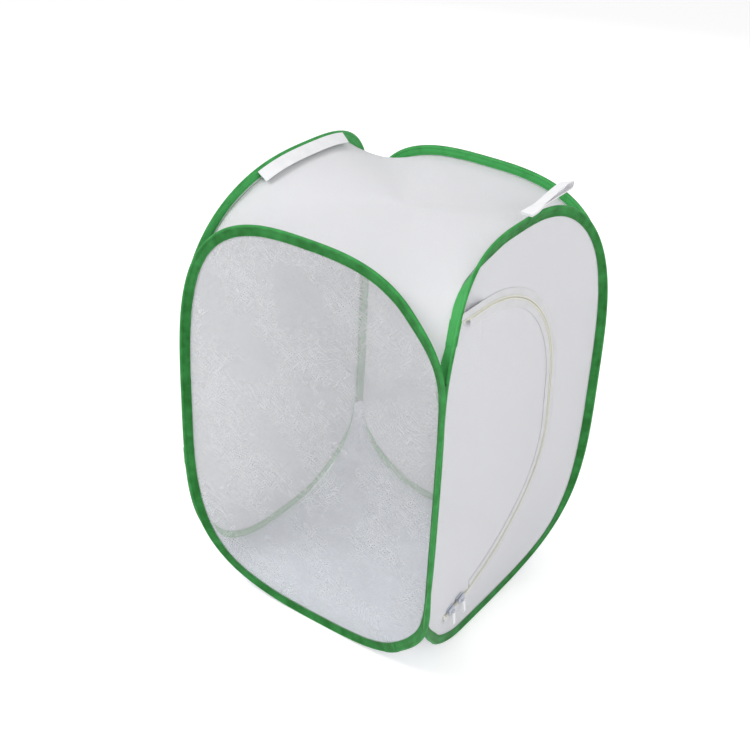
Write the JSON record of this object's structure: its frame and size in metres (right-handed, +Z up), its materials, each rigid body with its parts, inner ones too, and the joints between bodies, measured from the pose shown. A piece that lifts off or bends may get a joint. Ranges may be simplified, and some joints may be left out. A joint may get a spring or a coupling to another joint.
{
  "type": "insect cage",
  "caption": "Pop-up insect cage: wire-framed panels in green binding, clear film window, net walls and roof, D-shaped zipped door flap and webbing carry handles.",
  "frame": {"origin": "middle of the cage at the floor, at the height of the four bottom arcs it stands on", "axes": "+Z up, -Y towards the film window's outside, +X towards the zipped door's outside"},
  "size_m": [0.4092, 0.4094, 0.6135],
  "materials": {
    "wire": "satin",
    "sleeve": "satin",
    "binding": "woven tape, matt",
    "film": "clear, crinkled",
    "net": "fine mesh, matt",
    "cloth": "close weave, matt",
    "zip_tape": "woven tape, matt",
    "zip_teeth": "nylon coil",
    "slider": "satin enamel",
    "pull_tab": "moulded",
    "webbing": "woven webbing, matt"
  },
  "bodies": {
    "window_panel": {"window_wire": "wire", "window_sleeve": "sleeve", "window_binding": "binding", "window_film": "film", "roof_net": "net", "floor_cloth": "cloth"},
    "door_panel": {"door_wire": "wire", "door_sleeve": "sleeve", "door_binding": "binding", "door_net": "net", "zip_tape_outer": "zip_tape", "zip_teeth_outer": "zip_teeth", "zip_stop_low": "zip_teeth", "zip_stop_top": "zip_teeth", "door_handle": "webbing"},
    "flap": {"door_flap": "net", "zip_tape_inner": "zip_tape", "zip_teeth_inner": "zip_teeth"},
    "left_panel": {"left_wire": "wire", "left_sleeve": "sleeve", "left_binding": "binding", "left_net": "net", "left_handle": "webbing"},
    "back_panel": {"back_wire": "wire", "back_sleeve": "sleeve", "back_binding": "binding", "back_net": "net"},
    "slider_low": {"zip_slider_low": "slider"},
    "slider_high": {"zip_slider_high": "slider"},
    "tab_low": {"pull_tab_low": "pull_tab"},
    "tab_high": {"pull_tab_high": "pull_tab"}
  },
  "joints": [
    {"name": "cage_fold", "type": "hinge", "parent": "window_panel", "child": "door_panel", "pos_m": [0.20227, -0.20227, 0.3], "axis": [0, 0, -1], "range_deg": [0, 58], "stiffness_Nm_per_rad": 0.3, "deforming": ["roof_net", "floor_cloth"]},
    {"name": "left_fold", "type": "hinge", "parent": "window_panel", "child": "left_panel", "pos_m": [-0.1925, -0.1925, 0.3], "axis": [0, 0, -1], "range_deg": [0, 58]},
    {"name": "back_fold", "type": "hinge", "parent": "door_panel", "child": "back_panel", "pos_m": [0.1925, 0.1925, 0.3], "axis": [0, 0, 1], "range_deg": [0, 58]},
    {"name": "flap_fold", "type": "hinge", "parent": "door_panel", "child": "flap", "pos_m": [0.1795, -0.132, 0.526], "axis": [0, 0.1372, -0.9905], "range_deg": [0, 135]},
    {"name": "slider_high_run", "type": "hinge", "parent": "door_panel", "child": "slider_high", "pos_m": [0.18, -0.15798, 0.39112], "axis": [1, 0, 0], "range_deg": [0, 29]},
    {"name": "slider_low_run", "type": "hinge", "parent": "door_panel", "child": "slider_low", "pos_m": [0.18, -0.15798, 0.39112], "axis": [1, 0, 0], "range_deg": [0, 1.8]},
    {"name": "tab_low_swing", "type": "hinge", "parent": "slider_low", "child": "tab_low", "pos_m": [0.1852, -0.11116, 0.08518], "axis": [0, -0.9885, -0.1513], "range_deg": [0, 150]},
    {"name": "tab_high_swing", "type": "hinge", "parent": "slider_high", "child": "tab_high", "pos_m": [0.1852, -0.08783, 0.08968], "axis": [0, -0.974, -0.2266], "range_deg": [0, 150]}
  ],
  "couplings": [
    {"joint": "left_fold", "follows": "cage_fold", "ratio": 1},
    {"joint": "back_fold", "follows": "cage_fold", "ratio": 1}
  ]
}
